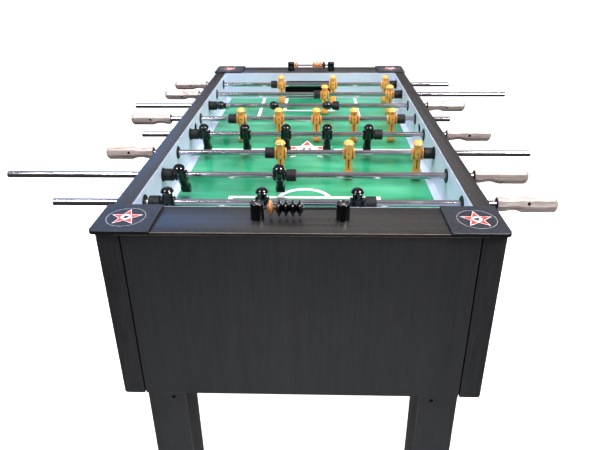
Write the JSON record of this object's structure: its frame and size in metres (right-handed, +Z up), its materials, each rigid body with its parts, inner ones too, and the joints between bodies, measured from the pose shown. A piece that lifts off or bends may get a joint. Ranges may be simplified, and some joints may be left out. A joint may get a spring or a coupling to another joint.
{
  "type": "foosball table",
  "caption": "Full-size foosball table: black cabinet on square legs, green field, sliding and spinning steel rods with yellow and black men, wooden grips and bead scorers.",
  "frame": {"origin": "on the floor under the middle of the table", "axes": "+Z up; X along the rods, -X is the left side; Y from goal to goal, -Y is the near end, with the black goalkeepers"},
  "size_m": [1.4367, 1.438, 0.951],
  "materials": {
    "black_woodgrain": "satin black laminate with vertical grain",
    "rail_laminate": "satin black laminate",
    "black_plastic": "fine-grained moulded",
    "black_gloss": "glossy moulded",
    "white_laminate": "semi-gloss",
    "white_strip": "semi-gloss",
    "green_field": "printed, semi-gloss, white lines",
    "board": "raw fibreboard",
    "steel": "polished",
    "yellow_plastic": "glossy amber moulded",
    "rubber": "matte ribbed",
    "handle_wood": "light, clear-coated",
    "orange_bead": "glossy"
  },
  "bodies": {
    "cabinet": {"side_panel_left": "black_woodgrain", "side_panel_right": "black_woodgrain", "end_panel_near": "black_woodgrain", "end_panel_far": "black_woodgrain", "side_liners": "white_laminate", "goal_walls": "white_laminate", "playfield": "green_field", "side_ramps": "white_strip", "cabinet_floor": "board", "top_rails_side": "rail_laminate", "top_rail_near": "rail_laminate", "top_rail_far": "rail_laminate", "corner_caps": "black_plastic", "goal_boxes": "black_plastic", "return_chutes": "black_plastic", "serve_cups": "black_plastic", "rod_bearings": "black_plastic", "bearing_nuts": "black_plastic", "score_posts": "black_gloss", "score_rods": "steel", "legs": "black_woodgrain", "leg_bolts": "steel", "leg_levelers": "black_plastic"},
    "black_goalie_slider": {"black_goalie_bumpers": "rubber"},
    "black_goalie_spinner": {"black_goalie_rod": "steel", "black_goalie_men": "black_gloss", "black_goalie_handle": "handle_wood"},
    "black_defence_slider": {"black_defence_bumpers": "rubber"},
    "black_defence_spinner": {"black_defence_rod": "steel", "black_defence_men": "black_gloss", "black_defence_handle": "handle_wood"},
    "yellow_attack_slider": {"yellow_attack_bumpers": "rubber"},
    "yellow_attack_spinner": {"yellow_attack_rod": "steel", "yellow_attack_men": "yellow_plastic", "yellow_attack_handle": "handle_wood"},
    "black_midfield_slider": {"black_midfield_bumpers": "rubber"},
    "black_midfield_spinner": {"black_midfield_rod": "steel", "black_midfield_men": "black_gloss", "black_midfield_handle": "handle_wood"},
    "yellow_midfield_slider": {"yellow_midfield_bumpers": "rubber"},
    "yellow_midfield_spinner": {"yellow_midfield_rod": "steel", "yellow_midfield_men": "yellow_plastic", "yellow_midfield_handle": "handle_wood"},
    "black_attack_slider": {"black_attack_bumpers": "rubber"},
    "black_attack_spinner": {"black_attack_rod": "steel", "black_attack_men": "black_gloss", "black_attack_handle": "handle_wood"},
    "yellow_defence_slider": {"yellow_defence_bumpers": "rubber"},
    "yellow_defence_spinner": {"yellow_defence_rod": "steel", "yellow_defence_men": "yellow_plastic", "yellow_defence_handle": "handle_wood"},
    "yellow_goalie_slider": {"yellow_goalie_bumpers": "rubber"},
    "yellow_goalie_spinner": {"yellow_goalie_rod": "steel", "yellow_goalie_men": "yellow_plastic", "yellow_goalie_handle": "handle_wood"},
    "near_marker_bead": {"near_marker_bead": "orange_bead"},
    "near_counter_beads": {"near_counter_beads": "black_gloss"},
    "far_moved_bead": {"far_moved_bead": "orange_bead"},
    "far_counter_beads": {"far_counter_beads": "orange_bead"},
    "far_marker_bead": {"far_marker_bead": "black_gloss"}
  },
  "joints": [
    {"name": "black_goalie_slide", "type": "slide", "parent": "cabinet", "child": "black_goalie_slider", "axis": [1, 0, 0], "range_m": [-0.00785, 0.17895]},
    {"name": "black_goalie_spin", "type": "hinge", "parent": "black_goalie_slider", "child": "black_goalie_spinner", "pos_m": [-0.08555, -0.5299, 0.885], "axis": [1, 0, 0], "continuous": true},
    {"name": "black_defence_slide", "type": "slide", "parent": "cabinet", "child": "black_defence_slider", "axis": [1, 0, 0], "range_m": [0, 0.3564]},
    {"name": "black_defence_spin", "type": "hinge", "parent": "black_defence_slider", "child": "black_defence_spinner", "pos_m": [-0.1782, -0.3785, 0.885], "axis": [1, 0, 0], "continuous": true},
    {"name": "yellow_attack_slide", "type": "slide", "parent": "cabinet", "child": "yellow_attack_slider", "axis": [1, 0, 0], "range_m": [-0.2318, 0]},
    {"name": "yellow_attack_spin", "type": "hinge", "parent": "yellow_attack_slider", "child": "yellow_attack_spinner", "pos_m": [0.1159, -0.2271, 0.885], "axis": [1, 0, 0], "continuous": true},
    {"name": "black_midfield_slide", "type": "slide", "parent": "cabinet", "child": "black_midfield_slider", "axis": [1, 0, 0], "range_m": [0, 0.1172]},
    {"name": "black_midfield_spin", "type": "hinge", "parent": "black_midfield_slider", "child": "black_midfield_spinner", "pos_m": [-0.0586, -0.0757, 0.885], "axis": [1, 0, 0], "continuous": true},
    {"name": "yellow_midfield_slide", "type": "slide", "parent": "cabinet", "child": "yellow_midfield_slider", "axis": [1, 0, 0], "range_m": [-0.0879, 0.0293]},
    {"name": "yellow_midfield_spin", "type": "hinge", "parent": "yellow_midfield_slider", "child": "yellow_midfield_spinner", "pos_m": [0.0293, 0.0757, 0.885], "axis": [1, 0, 0], "continuous": true},
    {"name": "black_attack_slide", "type": "slide", "parent": "cabinet", "child": "black_attack_slider", "axis": [1, 0, 0], "range_m": [0, 0.2318]},
    {"name": "black_attack_spin", "type": "hinge", "parent": "black_attack_slider", "child": "black_attack_spinner", "pos_m": [-0.1159, 0.2271, 0.885], "axis": [1, 0, 0], "continuous": true},
    {"name": "yellow_defence_slide", "type": "slide", "parent": "cabinet", "child": "yellow_defence_slider", "axis": [1, 0, 0], "range_m": [-0.3564, 0]},
    {"name": "yellow_defence_spin", "type": "hinge", "parent": "yellow_defence_slider", "child": "yellow_defence_spinner", "pos_m": [0.1782, 0.3785, 0.885], "axis": [1, 0, 0], "continuous": true},
    {"name": "yellow_goalie_slide", "type": "slide", "parent": "cabinet", "child": "yellow_goalie_slider", "axis": [1, 0, 0], "range_m": [-0.1868, 0]},
    {"name": "yellow_goalie_spin", "type": "hinge", "parent": "yellow_goalie_slider", "child": "yellow_goalie_spinner", "pos_m": [0.0934, 0.5299, 0.885], "axis": [1, 0, 0], "continuous": true},
    {"name": "near_marker_bead_slide", "type": "slide", "parent": "cabinet", "child": "near_marker_bead", "axis": [1, 0, 0], "range_m": [-0.0055, 0.0015]},
    {"name": "near_counter_beads_slide", "type": "slide", "parent": "cabinet", "child": "near_counter_beads", "axis": [1, 0, 0], "range_m": [-0.0015, 0.0621]},
    {"name": "far_moved_bead_slide", "type": "slide", "parent": "cabinet", "child": "far_moved_bead", "axis": [1, 0, 0], "range_m": [-0.0022, 0.0293]},
    {"name": "far_counter_beads_slide", "type": "slide", "parent": "cabinet", "child": "far_counter_beads", "axis": [1, 0, 0], "range_m": [-0.0293, 0]},
    {"name": "far_marker_bead_slide", "type": "slide", "parent": "cabinet", "child": "far_marker_bead", "axis": [1, 0, 0], "range_m": [0, 0.0098]}
  ]
}
